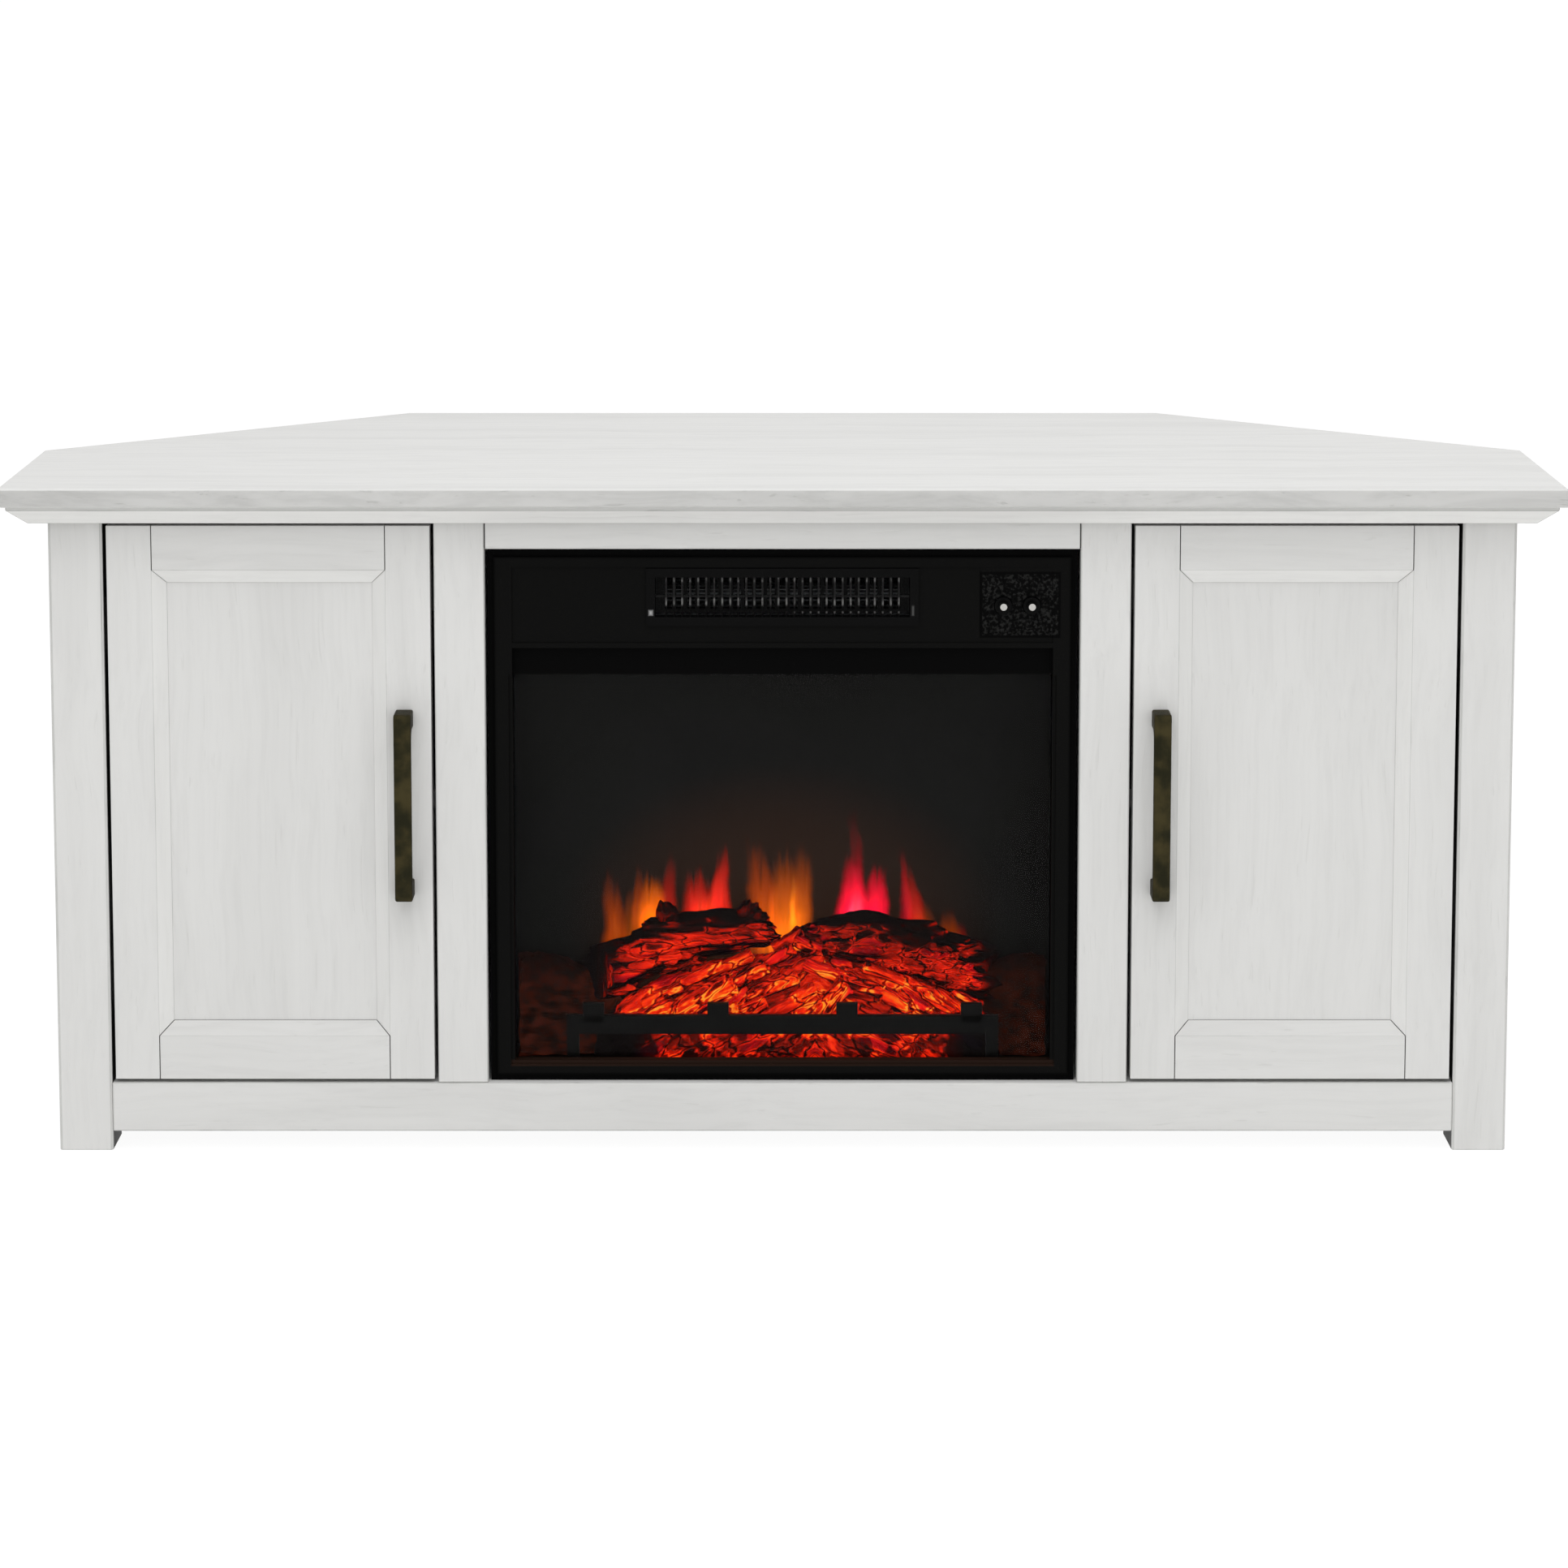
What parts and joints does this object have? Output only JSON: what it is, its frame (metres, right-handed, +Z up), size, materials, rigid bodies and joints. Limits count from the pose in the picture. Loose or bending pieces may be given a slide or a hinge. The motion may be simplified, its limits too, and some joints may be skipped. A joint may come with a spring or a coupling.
{
  "type": "fireplace tv stand",
  "caption": "Whitewashed corner media cabinet with framed side doors, shelves, bar handles and an electric fireplace insert in the middle.",
  "frame": {"origin": "on the floor under the middle of the top board", "axes": "+Z up, +X to the viewer's right along the front, -Y out of the front towards the viewer"},
  "size_m": [1.219, 0.532, 0.534],
  "materials": {
    "painted_wood": "whitewashed wood grain, satin",
    "bronze": "dark oil-rubbed bronze",
    "nickel_steel": "nickel-plated pressed steel",
    "knob_metal": "black skirt with a bright metal cap",
    "black_plastic": "moulded black plastic",
    "black_steel": "satin black powder coat",
    "galvanised_steel": "bare zinc-plated sheet",
    "smoked_glass": "clear dark tempered glass",
    "flame_acrylic": "dark half-mirrored sheet that shows the flames",
    "ember_resin": "painted resin lit from inside",
    "circuit_board": "solder mask",
    "mirror_foil": "polished foil petals"
  },
  "bodies": {
    "cabinet": {"top_board": "painted_wood", "under_board": "painted_wood", "right_front_leg": "painted_wood", "left_front_leg": "painted_wood", "right_side_rear_leg": "painted_wood", "left_side_rear_leg": "painted_wood", "right_back_leg": "painted_wood", "left_back_leg": "painted_wood", "right_inner_stile": "painted_wood", "left_inner_stile": "painted_wood", "top_rail": "painted_wood", "bottom_rail": "painted_wood", "bottom_panel": "painted_wood", "right_side_panel": "painted_wood", "left_side_panel": "painted_wood", "back_panel": "painted_wood", "right_partition": "painted_wood", "left_partition": "painted_wood", "right_shelf": "painted_wood", "left_shelf": "painted_wood", "right_magnetic_catch": "black_plastic", "left_magnetic_catch": "black_plastic", "right_wall_panel": "painted_wood", "left_wall_panel": "painted_wood", "right_lower_hinge_arm": "nickel_steel", "left_lower_hinge_arm": "nickel_steel", "right_upper_hinge_arm": "nickel_steel", "left_upper_hinge_arm": "nickel_steel", "front_frame": "black_steel", "outlet_grille": "black_plastic", "glass_front": "smoked_glass", "firebox_housing": "black_steel", "cord_gland": "black_plastic", "flame_screen": "flame_acrylic", "log_set": "ember_resin", "grate": "black_steel", "spindle_motor": "galvanised_steel", "light_board": "circuit_board", "blower_housing": "galvanised_steel", "heater_element": "galvanised_steel"},
    "right_door": {"right_door_hinge_stile": "painted_wood", "right_door_handle_stile": "painted_wood", "right_door_top_rail": "painted_wood", "right_door_bottom_rail": "painted_wood", "right_door_panel": "painted_wood", "right_door_handle": "bronze", "right_lower_hinge_cup": "nickel_steel", "right_upper_hinge_cup": "nickel_steel"},
    "left_door": {"left_door_hinge_stile": "painted_wood", "left_door_handle_stile": "painted_wood", "left_door_top_rail": "painted_wood", "left_door_bottom_rail": "painted_wood", "left_door_panel": "painted_wood", "left_door_handle": "bronze", "left_lower_hinge_cup": "nickel_steel", "left_upper_hinge_cup": "nickel_steel"},
    "flame_knob": {"flame_knob": "knob_metal"},
    "heat_knob": {"heat_knob": "knob_metal"},
    "flame_spindle": {"flame_spindle": "mirror_foil"},
    "blower_rotor": {"blower_rotor": "galvanised_steel"}
  },
  "joints": [
    {"name": "right_door_hinge", "type": "hinge", "parent": "cabinet", "child": "right_door", "pos_m": [0.5075, -0.2265, 0.2795], "axis": [0, 0, 1], "range_deg": [0, 105]},
    {"name": "left_door_hinge", "type": "hinge", "parent": "cabinet", "child": "left_door", "pos_m": [-0.5075, -0.2265, 0.2795], "axis": [0, 0, -1], "range_deg": [0, 105]},
    {"name": "flame_knob_turn", "type": "hinge", "parent": "cabinet", "child": "flame_knob", "pos_m": [0.1731, -0.2295, 0.4373], "axis": [0, 1, 0], "range_deg": [-135, 135]},
    {"name": "heat_knob_turn", "type": "hinge", "parent": "cabinet", "child": "heat_knob", "pos_m": [0.1955, -0.2295, 0.4373], "axis": [0, 1, 0], "range_deg": [-135, 135]},
    {"name": "flame_spindle_spin", "type": "hinge", "parent": "cabinet", "child": "flame_spindle", "pos_m": [0, -0.08, 0.1473], "axis": [1, 0, 0], "continuous": true},
    {"name": "blower_spin", "type": "hinge", "parent": "cabinet", "child": "blower_rotor", "pos_m": [0, -0.138, 0.4328], "axis": [1, 0, 0], "continuous": true}
  ]
}
